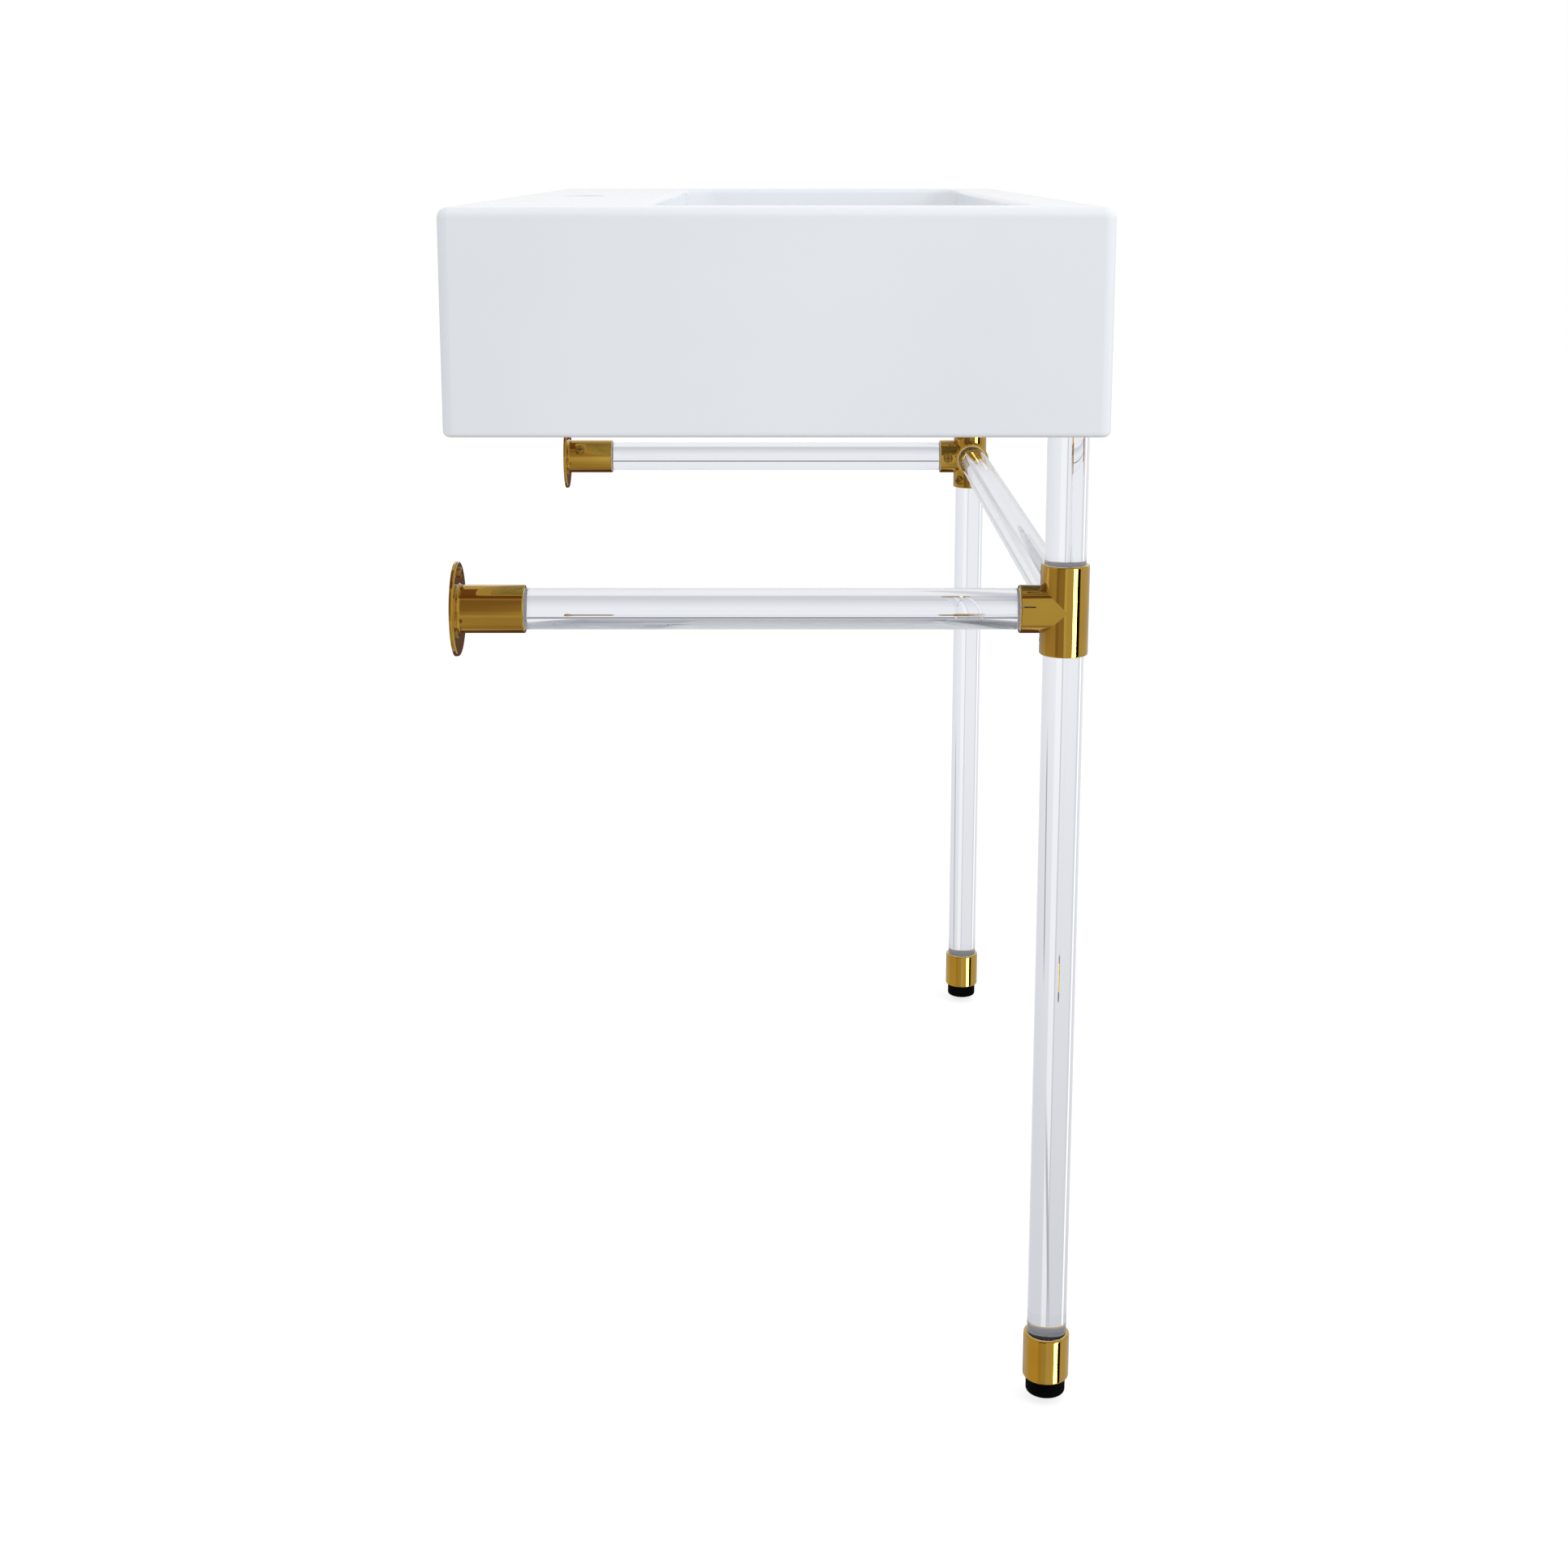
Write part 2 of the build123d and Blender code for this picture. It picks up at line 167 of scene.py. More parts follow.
# Studio seen in the metal and through the clear rods. Bearings are degrees from the left end (-X),
# positive towards the front (-Y); asides are degrees from the right end (+X), positive towards the
# wall; heights are degrees above level. A panel is from and to across, from and to height, softness,
# lean, share and colour.
studioValues = {
    "backdrop": (1.0, 1.0, 1.0, 1),
    "softLight": (0.74, 0.745, 0.76, 1),
    "rodShine": (0.80, 0.81, 0.83, 1),
    "metalRoom": (0.60, 0.60, 0.60, 1),
    "clearRoom": (0.83, 0.845, 0.88, 1),
    "clearLow": (0.60, 0.61, 0.64, 1),       # towards the floor
    "clearLowHeights": (-13, -31),
    "clearGround": (0.88, 0.885, 0.90, 1),   # under the floor
    "clearGroundHeights": (-36, -42),
    "clearFront": (0.62, 0.63, 0.66, 1),     # towards the front
    "clearFrontAsides": (-8, -75),
    "clearFrontEnd": (-175, -140),
    "clearFrontShare": 0.5,
    "metalPanels": [
        (-105, -32, -85, -3, 6, 0, 0.7, (0.40, 0.34, 0.25, 1)),    # warm wall side, below the horizon
        (-105, -28, -85, -19, 4, 0, 0.9, (0.63, 0.54, 0.28, 1)),   # warmer and paler near the floor
        (-46, -6.4, -19, 52, 3, 0, 0.54, (0.15, 0.07, 0.03, 1)),   # dusk beside the camera
        (-46, -6.4, -31, -19, 3, 0, 0.22, (0.15, 0.07, 0.03, 1)),  # thinner near the floor
        (-46, -6.4, -74, -31, 3, 0, 0.36, (0.15, 0.07, 0.03, 1)),
        (-46, -3, -4, 80, 10, 0, 0.5, (0.15, 0.06, 0.02, 1)),      # deeper above the horizon
        (-5.8, 4, -22, 5, 1.5, 0, 0.6, (0.78, 0.80, 0.82, 1)),     # pale strip beyond the dusk
        (-190, 190, 60, 100, 4, 0, 0.9, (0.16, 0.06, 0.04, 1)),    # ceiling
        (-190, 190, -100, -74, 6, 0, 0.5, (0.16, 0.09, 0.06, 1)),  # ground
        (54.5, 70, -42, -5, 0.5, 0, 1.0, (0.0, 0.0, 0.0, 1)),      # black strip beside the strip lamp
    ],
    "farPanels": [  # across is the bearing without its sign, so these lie behind the right end
        (125, 190, -1, 30, 3, 0, 1.0, (0.93, 0.93, 0.95, 1)),      # pale, above the horizon
        (160, 190, -100, -3, 4, 0, 0.95, (0.09, 0.04, 0.02, 1)),   # dark, below it
    ],
    "clearPanels": [
        (-150, -82, -90, 40, 8, 0, 0.9, (1.0, 1.0, 1.0, 1)),       # white, behind and to the front
        (28, 53, -70, 40, 2.5, 0, 0.7, (0.60, 0.61, 0.64, 1)),     # grey, towards the wall
        (35.5, 44, -75, 60, 1.0, 0, 1.0, (1.1, 1.1, 1.1, 1)),      # bright line within it
        (-20, -9, -60, 5, 1.5, 0, 0.55, (0.98, 0.98, 1.0, 1)),     # pale band
        (-8.8, -6.6, -60, 10, 0.6, 0, 0.5, (0.40, 0.41, 0.44, 1)),  # dark line beside it
        (-60, 60, 4.4, 7.8, 0.4, 0, 0.95, (0.14, 0.145, 0.16, 1)),  # dark line of the side rods
        (-37.5, -34, -20.5, -15, 0.9, 0.9, 0.95, (0.30, 0.31, 0.34, 1)),    # short leaning streaks
        (-13.5, -9, -28.8, -24.5, 1.2, 3.2, 0.85, (0.32, 0.33, 0.36, 1)),
    ],
    "leanSpan": 45,  # degrees of height, each way from a leaning panel's middle
}


def hangPanels(sketch, colour, across, height, panels, span):
    # Soft-edged rectangles across and in height, one over the other. A lean slides one sideways as it
    # goes down.
    for fromAcross, toAcross, fromHeight, toHeight, soft, lean, share, shade in panels:
        middle = (fromHeight + toHeight) / 2
        slid = across if lean == 0 else sketch.sums("ADD", across, sketch.between(
            height, middle - span, middle + span, -span * lean, span * lean, smooth=False))
        left = sketch.between(slid, fromAcross - soft, fromAcross + soft)
        right = sketch.between(slid, toAcross - soft, toAcross + soft, 1.0, 0.0)
        low = sketch.between(height, fromHeight - soft, fromHeight + soft)
        high = sketch.between(height, toHeight - soft, toHeight + soft, 1.0, 0.0)
        sideways, upwards = sketch.sums("MULTIPLY", left, right), sketch.sums("MULTIPLY", low, high)
        mask = sketch.sums("MULTIPLY", sideways, upwards)
        colour = sketch.blendColours(sketch.sums("MULTIPLY", mask, share), colour, shade)
    return colour


def makeStudio(values):
    world = bpy.data.worlds.new("studio")
    bpy.context.scene.world = world
    world.use_nodes = True
    tree = world.node_tree
    tree.nodes.clear()
    sketch = NodeSketch(tree)
    dx, dy, dz = sketch.split(sketch.node("ShaderNodeTexCoord").outputs["Generated"])
    backX, backY = sketch.sums("MULTIPLY", dx, -1.0), sketch.sums("MULTIPLY", dy, -1.0)
    bearing = sketch.sums("DEGREES", sketch.sums("ARCTAN2", backY, backX))
    aside = sketch.sums("DEGREES", sketch.sums("ARCTAN2", dy, dx))
    height = sketch.sums("DEGREES", sketch.sums("ARCSINE", dz))
    span = values["leanSpan"]

    # What polished metal and glaze show: a grey room with the panels listed above.
    room = hangPanels(sketch, values["metalRoom"], bearing, height, values["metalPanels"], span)
    farBearing = sketch.sums("ABSOLUTE", bearing)
    room = hangPanels(sketch, room, farBearing, height, values["farPanels"], span)

    # What the clear rods show: a pale room, darker towards the floor and the front, and pale under
    # the floor.
    low = sketch.between(height, *values["clearLowHeights"], smooth=False)
    clear = sketch.blendColours(low, values["clearRoom"], values["clearLow"])
    ground = sketch.between(height, *values["clearGroundHeights"])
    clear = sketch.blendColours(ground, clear, values["clearGround"])
    front = sketch.sums("MULTIPLY", sketch.between(aside, *values["clearFrontAsides"]),
                        sketch.between(aside, *values["clearFrontEnd"]))
    frontShare = sketch.sums("MULTIPLY", front, values["clearFrontShare"])
    clear = sketch.blendColours(frontShare, clear, values["clearFront"])
    clear = hangPanels(sketch, clear, aside, height, values["clearPanels"], span)

    rays = sketch.node("ShaderNodeLightPath")
    colour = sketch.blendColours(rays.outputs["Is Glossy Ray"], values["softLight"], room)
    colour = sketch.blendColours(rays.outputs["Is Singular Ray"], colour, values["rodShine"])
    colour = sketch.blendColours(rays.outputs["Is Transmission Ray"], colour, clear)
    colour = sketch.blendColours(rays.outputs["Is Camera Ray"], colour, values["backdrop"])
    background = sketch.node("ShaderNodeBackground")
    sketch.feed(background.inputs["Color"], colour)
    background.inputs["Strength"].default_value = 1.0
    sketch.feed(sketch.node("ShaderNodeOutputWorld").inputs["Surface"], background.outputs[0])


makeStudio(studioValues)

# Soft boxes: place and aim in metres, width and height in metres, power in watts. The first three light
# everything and aren't seen. The strip lamp is far off, lights only the tees and the foot collars, and
# shows in them as a white line.
softBoxes = {
    "overheadBox": {"place": (-0.5, -0.6, 2.2), "aim": (0.0, -0.25, 0.0), "size": (2.2, 2.2),
                    "power": 16, "tint": (1, 1, 1), "lights": None},
    "frontBox": {"place": (-1.3, -3.0, 0.9), "aim": (0.0, -0.2, -0.2), "size": (1.8, 1.8),
                 "power": 26, "tint": (1, 0.99, 0.98), "lights": None},
    "endBox": {"place": (-3.2, 0.4, 0.6), "aim": (-0.3, -0.2, -0.2), "size": (1.6, 1.6),
               "power": 6, "tint": (0.98, 0.99, 1), "lights": None},
    "stripLamp": {"place": (-8.70, -8.51, -6.2), "aim": (0.0, -0.25, -6.2), "size": (3.8, 9.8),
                  "power": 1360, "tint": (1, 1, 1),
                  "lights": ("left_tee", "right_tee", "left_foot_collar", "right_foot_collar")},
}


def makeSoftBox(name, values):
    lampData = bpy.data.lights.new(name, "AREA")
    lampData.shape = "RECTANGLE"
    lampData.size, lampData.size_y = values["size"]
    lampData.energy = values["power"]
    lampData.color = values["tint"]
    lamp = bpy.data.objects.new(name, lampData)
    lamp.location = values["place"]
    aim = np.subtract(values["aim"], values["place"])
    flat = math.hypot(aim[0], aim[1])
    lamp.rotation_euler = (math.atan2(flat, -aim[2]), 0, math.atan2(-aim[0], aim[1]))
    lamp.visible_glossy = values["lights"] is not None
    lamp.visible_transmission = False
    lamp.visible_camera = False
    bpy.context.scene.collection.objects.link(lamp)
    if values["lights"]:
        litPieces = bpy.data.collections.new(name + "Pieces")
        for nodeName in values["lights"]:
            litPieces.objects.link(frame["nodes"][nodeName])
        lamp.light_linking.receiver_collection = litPieces


for boxName, boxValues in softBoxes.items():
    makeSoftBox(boxName, boxValues)
print("basin scene: studio lit")


groupValues = {
    "cloudDetail": 4.0, "cloudEdges": (0.35, 0.65),
    "markDetail": 2.0, "markEdges": (0.52, 0.75),
    "markRuns": (((0.3, 0.2, 0.9), (1, 14, 1)), ((0.8, 1.1, 0.2), (16, 1, 2))),  # turns and stretches
    "rippleDetail": 2.0,
}


def newGroup(name, inputs, output, outputKind):
    group = bpy.data.node_groups.new(name, "ShaderNodeTree")
    for socketName, kind in inputs.items():
        group.interface.new_socket(socketName, in_out="INPUT", socket_type=kind)
    group.interface.new_socket(output, in_out="OUTPUT", socket_type=outputKind)
    sketch = NodeSketch(group)
    given, result = sketch.node("NodeGroupInput"), sketch.node("NodeGroupOutput")
    return group, sketch, given.outputs, result.inputs[output]


def makeCloudGroup(values):
    # Slow clouds of tone: a base and a second colour blended by noise on the object's own coordinates.
    group, sketch, given, result = newGroup(
        "slowClouds",
        {"Base": "NodeSocketColor", "Second": "NodeSocketColor", "Scale": "NodeSocketFloat",
         "Share": "NodeSocketFloat"},
        "Colour", "NodeSocketColor")
    broad = sketch.noise(sketch.objectPlace(), given["Scale"], values["cloudDetail"])
    share = sketch.sums("MULTIPLY", sketch.between(broad, *values["cloudEdges"]), given["Share"])
    sketch.feed(result, sketch.blendColours(share, given["Base"], given["Second"]))
    return group


def makeScuffGroup(values):
    # Fine wiping marks: thin stretched noise in two directions, the larger of the two turned into a
    # roughness between low and high.
    group, sketch, given, result = newGroup(
        "wipeMarks",
        {"Low": "NodeSocketFloat", "High": "NodeSocketFloat", "Scale": "NodeSocketFloat"},
        "Roughness", "NodeSocketFloat")
    place = sketch.objectPlace()
    masks = []
    for turn, stretch in values["markRuns"]:
        drawn = sketch.stretched(place, stretch, turn)
        streaks = sketch.noise(drawn, given["Scale"], values["markDetail"])
        masks.append(sketch.between(streaks, *values["markEdges"]))
    mask = sketch.sums("MAXIMUM", *masks)
    sketch.feed(result, sketch.between(mask, 0, 1, given["Low"], given["High"]))
    return group


def makeRippleGroup(values):
    # A faint slow ripple for glaze, plating and moulded rubber: two scales of noise added as a height.
    group, sketch, given, result = newGroup(
        "surfaceRipple",
        {"Broad": "NodeSocketFloat", "Fine": "NodeSocketFloat", "Fine Share": "NodeSocketFloat"},
        "Height", "NodeSocketFloat")
    place = sketch.objectPlace()
    broad = sketch.noise(place, given["Broad"], values["rippleDetail"])
    fine = sketch.noise(place, given["Fine"], values["rippleDetail"])
    sketch.feed(result, sketch.sums("ADD", broad, sketch.sums("MULTIPLY", fine, given["Fine Share"])))
    return group


slowClouds = makeCloudGroup(groupValues)
wipeMarks = makeScuffGroup(groupValues)
surfaceRipple = makeRippleGroup(groupValues)


def placeGroup(sketch, group, **values):
    made = sketch.node("ShaderNodeGroup")
    made.node_tree = group
    for name, value in values.items():
        sketch.feed(made.inputs[name.replace("_", " ")], value)
    return made.outputs[0]


def newFinish(name, **plain):
    material = bpy.data.materials.new(name)
    material.use_nodes = True
    tree = material.node_tree
    tree.nodes.clear()
    sketch = NodeSketch(tree)
    surface = sketch.node("ShaderNodeBsdfPrincipled")
    sketch.feed(sketch.node("ShaderNodeOutputMaterial").inputs["Surface"], surface.outputs[0])
    for socketName, value in plain.items():
        surface.inputs[socketName.replace("_", " ")].default_value = value
    return material, sketch, surface.inputs


def cloudedColour(sketch, values):
    first, second = values["tones"]
    return placeGroup(sketch, slowClouds, Base=first, Second=second, Scale=values["cloudScale"],
                      Share=values["cloudShare"])


def markedRoughness(sketch, values):
    low, high = values["roughness"]
    return placeGroup(sketch, wipeMarks, Low=low, High=high, Scale=values["markScale"])


def rippledNormal(sketch, values):
    broad, fine, fineShare = values["ripple"]
    bump = sketch.node("ShaderNodeBump")
    bump.inputs["Strength"].default_value, bump.inputs["Distance"].default_value = values["bump"]
    height = placeGroup(sketch, surfaceRipple, Broad=broad, Fine=fine, Fine_Share=fineShare)
    sketch.feed(bump.inputs["Height"], height)
    return bump.outputs["Normal"]


# In every finish: tones are the two colours of the clouds, roughness is the lowest and the highest,
# ripple is the broad scale, the fine scale and the fine one's share, and bump is strength and distance.
glazeValues = {
    "tones": ((0.83, 0.855, 0.88, 1), (0.80, 0.83, 0.865, 1)), "cloudScale": 5.0, "cloudShare": 0.5,
    "roughness": (0.05, 0.085), "markScale": 18.0,
    "coat": 0.15,
    "ripple": (9.0, 60.0, 0.02), "bump": (0.05, 0.003),
    "clayTones": ((0.74, 0.71, 0.66, 1), (0.66, 0.63, 0.58, 1)),
    "clayGrain": 900.0, "clayDetail": 3.0, "clayEdges": (0.3, 0.7),
    "clayRoughness": 0.75,
    "clayLevel": -0.0835,  # metres; the casting stands bare below this height
    "claySoft": 0.0006,    # metres
}


def makeGlaze(values):
    # White glaze over the casting, and bare grainy clay on its lowest edge.
    material, sketch, surface = newFinish("glazedCeramic", IOR=1.52, Specular_IOR_Level=0.5,
                                          Coat_Roughness=0.03)
    place = sketch.objectPlace()
    level, soft = values["clayLevel"], values["claySoft"]
    bare = sketch.between(sketch.split(place)[2], level + soft, level - soft)
    grain = sketch.noise(place, values["clayGrain"], values["clayDetail"])
    clay = sketch.blendColours(sketch.between(grain, *values["clayEdges"]), *values["clayTones"])
    sketch.feed(surface["Base Color"], sketch.blendColours(bare, cloudedColour(sketch, values), clay))
    clayRough = sketch.sums("MULTIPLY", bare, values["clayRoughness"])
    sketch.feed(surface["Roughness"], sketch.sums("MAXIMUM", markedRoughness(sketch, values), clayRough))
    sketch.feed(surface["Coat Weight"], sketch.between(bare, 0, 1, values["coat"], 0.0))
    sketch.feed(surface["Normal"], rippledNormal(sketch, values))
    return material


brassValues = {
    "tones": ((0.645, 0.39, 0.050, 1), (0.57, 0.315, 0.035, 1)), "cloudScale": 14.0, "cloudShare": 0.6,
    "hollowShadeTone": (0.22, 0.08, 0.015, 1),  # painted shade in the hollows between the castings' forms
    "hollowShadeEdges": (0.495, 0.43), "hollowShadeShare": 0.7,
    "roughness": (0.02, 0.04), "markScale": 90.0,
    "coat": 0.35,
    "ripple": (60.0, 900.0, 0.05), "bump": (0.01, 0.0004),
    # Inside the bores: the mouths are painted near white as painted light, the depths near black as
    # painted shade, and the foot collars' bores pale as painted light.
    "boreMouthLitTone": (0.97, 0.96, 0.96, 1), "boreDeepShadeTone": (0.05, 0.045, 0.04, 1),
    "boreCollarLitTone": (0.88, 0.88, 0.90, 1),
    "boreRoughness": 0.5,
    # All in metres.
    "boreRadius": 0.0153,   # just outside the rods
    "teeFloor": 0.0165,     # from a tee's middle, just past the sockets' floors
    "flangeFloor": 0.0075,  # from the wall, just past the sockets' floors
    "collarSlack": 0.0005,  # below the legs' lower ends
    "mouthDepth": 0.004,    # of each tee and flange socket that is painted bright: painted light
    "mouthSoft": 0.0006,
}
# Screws: darker tones, and a darker painted shade in their hollows.
screwValues = dict(
    brassValues, tones=((0.44, 0.26, 0.04, 1), (0.30, 0.16, 0.025, 1)), cloudScale=60.0,
    hollowShadeTone=(0.06, 0.025, 0.01, 1), roughness=(0.10, 0.2))


def middleOf(nodeName):
    low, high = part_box(nodeName)
    return (np.array(low) + np.array(high)) / 2


def insideBores(sketch, values):
    # Three masks. The bore mask is one inside the sockets that hold the rods, where the castings are
    # left dull: within the bore radius of a leg, side or cross rod's axis, and past the solid middle of
    # a tee. The mouth mask is one in the first few millimetres from each socket's mouth, painted bright
    # as painted light, with the bore deeper in painted dark as painted shade. The collar mask is one at
    # the height of the foot collars, where the bore is painted pale as painted light.
    x, y, z = sketch.split(sketch.objectPlace())
    leg, side = middleOf("left_leg_rod"), middleOf("left_side_rod")
    awayX = sketch.sums("SUBTRACT", sketch.sums("ABSOLUTE", x), float(-leg[0]))
    awayY = sketch.sums("SUBTRACT", y, float(leg[1]))
    awayZ = sketch.sums("SUBTRACT", z, float(side[2]))
    limit, floor, soft = values["boreRadius"], values["teeFloor"], values["mouthSoft"]

    def both(first, second):
        return sketch.sums("MULTIPLY", first, second)

    def near(first, second):
        away = sketch.sums("SQRT", sketch.sums("ADD", both(first, first), both(second, second)))
        return sketch.sums("LESS_THAN", away, limit)

    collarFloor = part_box("left_leg_rod")[0][2] - values["collarSlack"]
    upright = both(near(awayX, awayY), sketch.sums("GREATER_THAN", z, collarFloor))
    rear = both(near(awayX, awayZ), sketch.sums("GREATER_THAN", awayY, floor))
    rear = both(rear, sketch.sums("LESS_THAN", y, -values["flangeFloor"]))
    inner = both(near(awayY, awayZ), sketch.sums("LESS_THAN", awayX, -floor))
    bore = sketch.sums("MAXIMUM", sketch.sums("MAXIMUM", upright, rear), inner)

    teeMouth = float(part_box("left_tee")[1][1] - leg[1]) - values["mouthDepth"]
    flangeMouth = float(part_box("left_wall_flange")[0][1]) + values["mouthDepth"]
    alongLeg = sketch.between(sketch.sums("ABSOLUTE", awayZ), teeMouth - soft, teeMouth + soft)
    alongSide = both(sketch.between(awayY, teeMouth - soft, teeMouth + soft),
                     sketch.between(y, flangeMouth + soft, flangeMouth - soft))
    alongCross = sketch.between(awayX, soft - teeMouth, -soft - teeMouth)
    mouth = sketch.sums("MAXIMUM", both(upright, alongLeg), both(rear, alongSide))
    mouth = sketch.sums("MAXIMUM", mouth, both(inner, alongCross))
    collar = sketch.sums("LESS_THAN", z, float(leg[2]))
    return bore, mouth, collar


def makeBrass(name, values):
    # Polished metal with painted shade in its hollows, and dull inside its bores, where the colour is
    # painted light near the mouths and in the foot collars and painted shade deeper in.
    material, sketch, surface = newFinish(name, IOR=1.5, Coat_Roughness=0.05)
    # Pointiness picks out the hollows, which are painted darker: painted shade.
    pointed = sketch.node("ShaderNodeNewGeometry").outputs["Pointiness"]
    hollow = sketch.between(pointed, *values["hollowShadeEdges"])
    hollow = sketch.sums("MULTIPLY", hollow, values["hollowShadeShare"])
    shaded = sketch.blendColours(hollow, cloudedColour(sketch, values), values["hollowShadeTone"])
    bore, mouth, collar = insideBores(sketch, values)
    # Painted light at the bores' mouths and in the collar bores, painted shade deeper in the bores.
    inside = sketch.blendColours(mouth, values["boreDeepShadeTone"], values["boreMouthLitTone"])
    inside = sketch.blendColours(collar, inside, values["boreCollarLitTone"])
    sketch.feed(surface["Base Color"], sketch.blendColours(bore, shaded, inside))
    sketch.feed(surface["Metallic"], sketch.between(bore, 0, 1, 1.0, 0.0))
    sketch.feed(surface["Coat Weight"], sketch.between(bore, 0, 1, values["coat"], 0.0))
    boreRough = sketch.sums("MULTIPLY", bore, values["boreRoughness"])
    sketch.feed(surface["Roughness"], sketch.sums("MAXIMUM", markedRoughness(sketch, values), boreRough))
    sketch.feed(surface["Normal"], rippledNormal(sketch, values))
    return material


acrylicValues = {"tones": ((0.985, 0.99, 1.0, 1), (0.975, 0.982, 0.995, 1)), "cloudScale": 14.0,
                 "cloudShare": 1.0}


def makeAcrylic(values):
    material, sketch, surface = newFinish("clearAcrylic", Transmission_Weight=1.0, IOR=1.49,
                                          Metallic=0.0, Roughness=0.0)
    sketch.feed(surface["Base Color"], cloudedColour(sketch, values))
    return material


blackRubberValues = {
    "tones": ((0.0008, 0.0008, 0.0009, 1), (0.003, 0.003, 0.0032, 1)), "cloudScale": 40.0,
    "cloudShare": 0.7,
    "roughness": (0.69, 0.83), "markScale": 120.0,
    "gloss": 0.03,
    "ripple": (300.0, 1400.0, 0.6), "bump": (0.25, 0.0006),
}
padRubberValues = dict(
    blackRubberValues, tones=((0.62, 0.62, 0.60, 1), (0.56, 0.56, 0.54, 1)), roughness=(0.54, 0.68),
    gloss=0.4)


def makeRubber(name, values):
    material, sketch, surface = newFinish(name, IOR=1.5, Specular_IOR_Level=values["gloss"])
    sketch.feed(surface["Base Color"], cloudedColour(sketch, values))
    sketch.feed(surface["Roughness"], markedRoughness(sketch, values))
    sketch.feed(surface["Normal"], rippledNormal(sketch, values))
    return material


zincValues = {
    "tones": ((0.60, 0.61, 0.62, 1), (0.52, 0.53, 0.56, 1)), "cloudScale": 110.0, "cloudShare": 0.8,
    "roughness": (0.26, 0.4), "markScale": 200.0,
}


def makeZinc(values):
    material, sketch, surface = newFinish("zincSteel", Metallic=1.0, IOR=1.5)
    sketch.feed(surface["Base Color"], cloudedColour(sketch, values))
    sketch.feed(surface["Roughness"], markedRoughness(sketch, values))
    return material


finishes = {
    "glazed_ceramic": makeGlaze(glazeValues),
    "clear_acrylic": makeAcrylic(acrylicValues),
    "polished_brass": makeBrass("polishedBrass", brassValues),
    "brass_screws": makeBrass("brassScrews", screwValues),
    "black_rubber": makeRubber("blackRubber", blackRubberValues),
    "pad_rubber": makeRubber("padRubber", padRubberValues),
    "zinc_steel": makeZinc(zincValues),
}
for entry in frame["record"]["subparts"]:
    node = frame["nodes"][entry["node"]]
    for index in range(len(node.data.materials)):
        node.data.materials[index] = finishes[entry["material_slot"]]


def newPiece(name, points, faces, sharpAngle, slotName, body, replaced):
    mesh = bpy.data.meshes.new(name)
    mesh.from_pydata(points.tolist(), [], faces)
    mesh.validate()
    mesh.update()
    piece = bpy.data.objects.new(name, mesh)
    bpy.context.scene.collection.objects.link(piece)
    mesh.materials.append(finishes[slotName])
    mesh.shade_smooth()
    mesh.set_sharp_from_angle(angle=math.radians(sharpAngle))
    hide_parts(replaced)
    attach(piece, body)


def turnedFaces(rings, around):
    # Quads of a closed ring grid, and one pole at each end: the first and last points of the array.
    ring = np.arange(rings)[:, None] * around
    step = np.arange(around)[None, :]
    after = (step + 1) % around
    low, high = ring[:-1], ring[1:]
    quads = np.stack([low + step, low + after, high + after, high + step], -1).reshape(-1, 4)
    start, end = rings * around, rings * around + 1
    top = (rings - 1) * around
    first = np.stack([np.full(around, start), after[0], step[0]], -1)
    last = np.stack([np.full(around, end), top + step[0], top + after[0]], -1)
    return quads.tolist() + first.tolist() + last.tolist()


rodValues = {
    "around": 256,       # facets round a rod, so that what shows through it stays smooth
    "endRound": 0.0006,  # the polished round at each end, metres
    "roundSteps": 6,
    "guard": 0.0004,     # from each round to its guard ring, metres
    "sharpAngle": 40,    # degrees
}


def makeRod(nodeName, alongAxis, values):
    # A turned rod: radius r along the axis, and at each end a quarter circle of radius e,
    # r(a) = R - e + e sin a, s(a) = e - e cos a, closed by a pole on the axis. A guard ring beside each
    # round keeps the long sides' shading straight, so that they refract as a true cylinder.
    low, high = (np.array(corner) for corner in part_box(nodeName))
    centre = middleOf(nodeName)
    second, third = (alongAxis + 1) % 3, (alongAxis + 2) % 3
    radius = (high - low)[second] / 2
    edge = values["endRound"]
    bend = np.linspace(0, math.pi / 2, values["roundSteps"])
    inner = np.append(radius - edge + edge * np.sin(bend), radius)
    radii = np.concatenate([inner, inner[::-1]])
    start, end = low[alongAxis], high[alongAxis]
    inwards = np.append(edge - edge * np.cos(bend), edge + values["guard"])
    stations = np.concatenate([start + inwards, end - inwards[::-1]])
    turn = np.linspace(0, 2 * math.pi, values["around"], endpoint=False)
    points = np.zeros((len(radii), len(turn), 3))
    points[..., alongAxis] = stations[:, None]
    points[..., second] = centre[second] + radii[:, None] * np.cos(turn)
    points[..., third] = centre[third] + radii[:, None] * np.sin(turn)
    poles = np.tile(centre, (2, 1))
    poles[0, alongAxis], poles[1, alongAxis] = start, end
    flat = np.concatenate([points.reshape(-1, 3), poles])
    faces = turnedFaces(len(radii), len(turn))
    newPiece(nodeName + "_clear", flat, faces, values["sharpAngle"], "clear_acrylic", "frame", nodeName)


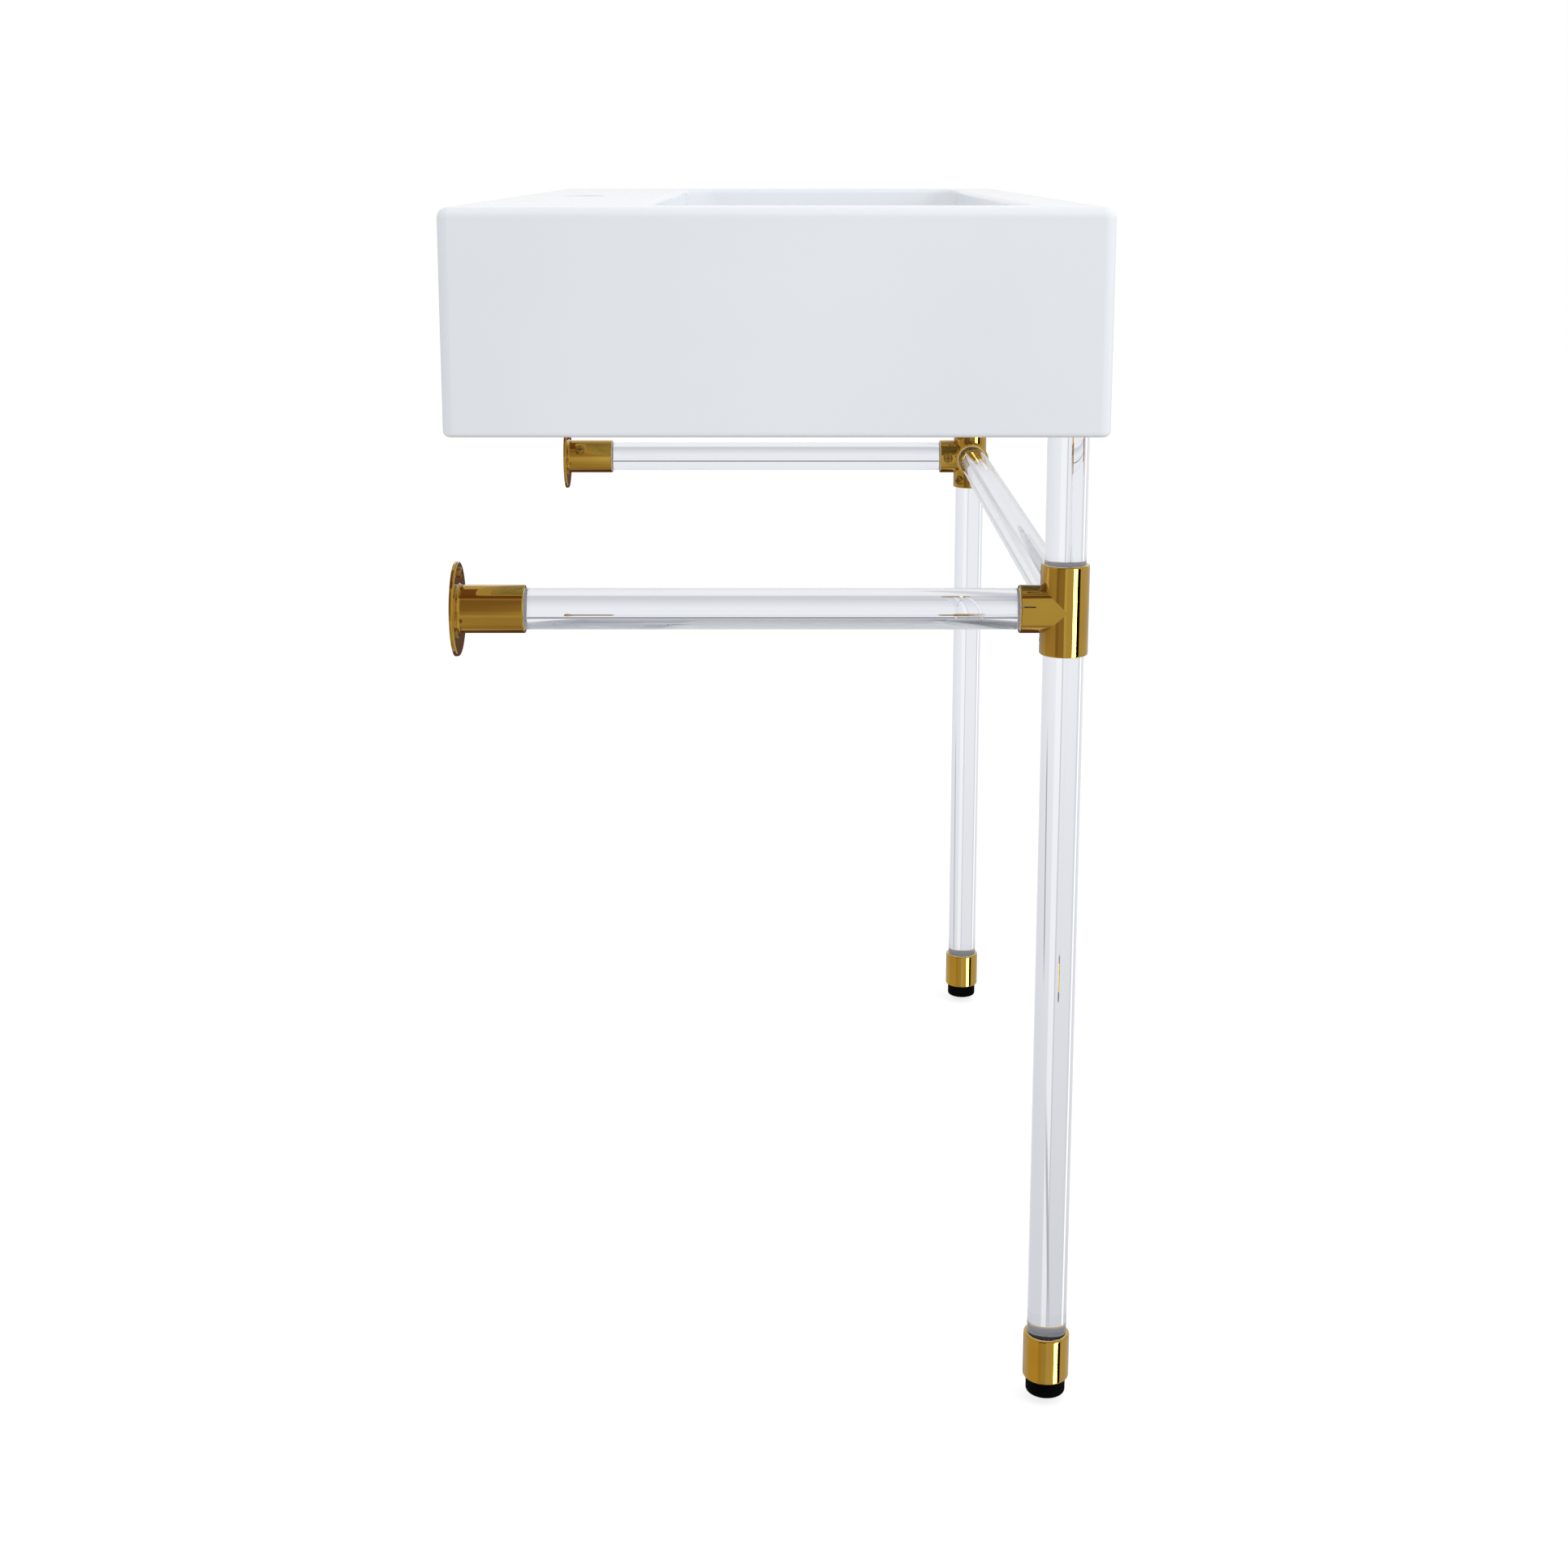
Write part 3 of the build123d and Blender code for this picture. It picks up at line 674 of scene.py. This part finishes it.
for hand in ("left", "right"):
    for ending, alongAxis in (("upper_rod", 2), ("leg_rod", 2), ("side_rod", 1)):
        makeRod(hand + "_" + ending, alongAxis, rodValues)
makeRod("cross_rod", 0, rodValues)
print("basin scene: clear rods turned")


floorValues = {
    "half": 9.0,                           # metres
    "drop": 0.0062,                        # metres, so that the feet at their lowest don't sink into it
    "tone": (0.82, 0.82, 0.82, 1),         # to everything but the camera
    "shadowTone": (0.36, 0.36, 0.36, 1),   # to the camera, with the glow added
    "glow": 0.76,
}


def makeFloor(values):
    # A flat square, not part of the object, just under the feet.
    level = cadBox[0][2] - values["drop"]
    half = values["half"]
    corners = [(-half, -half, level), (half, -half, level), (half, half, level), (-half, half, level)]
    mesh = bpy.data.meshes.new("studioFloor")
    mesh.from_pydata(corners, [], [(0, 1, 2, 3)])
    floor = bpy.data.objects.new("studioFloor", mesh)
    bpy.context.scene.collection.objects.link(floor)
    material = bpy.data.materials.new("paleFloor")
    material.use_nodes = True
    tree = material.node_tree
    tree.nodes.clear()
    sketch = NodeSketch(tree)
    plain = sketch.node("ShaderNodeBsdfDiffuse")
    plain.inputs["Color"].default_value = values["tone"]
    dim = sketch.node("ShaderNodeBsdfDiffuse")
    dim.inputs["Color"].default_value = values["shadowTone"]
    glow = sketch.node("ShaderNodeEmission")
    glow.inputs["Strength"].default_value = values["glow"]
    both = sketch.node("ShaderNodeAddShader")
    sketch.feed(both.inputs[0], dim.outputs[0])
    sketch.feed(both.inputs[1], glow.outputs[0])
    choice = sketch.node("ShaderNodeMixShader")
    sketch.feed(choice.inputs[0], sketch.node("ShaderNodeLightPath").outputs["Is Camera Ray"])
    sketch.feed(choice.inputs[1], plain.outputs[0])
    sketch.feed(choice.inputs[2], both.outputs[0])
    sketch.feed(sketch.node("ShaderNodeOutputMaterial").inputs["Surface"], choice.outputs[0])
    mesh.materials.append(material)
    floor.visible_glossy = False
    floor.visible_transmission = False
    floor.visible_diffuse = False  # the soft light from under it reaches the basin's underside
    floor.visible_shadow = False   # and the strip lamp reaches the brass


makeFloor(floorValues)
print("basin scene: floor laid")
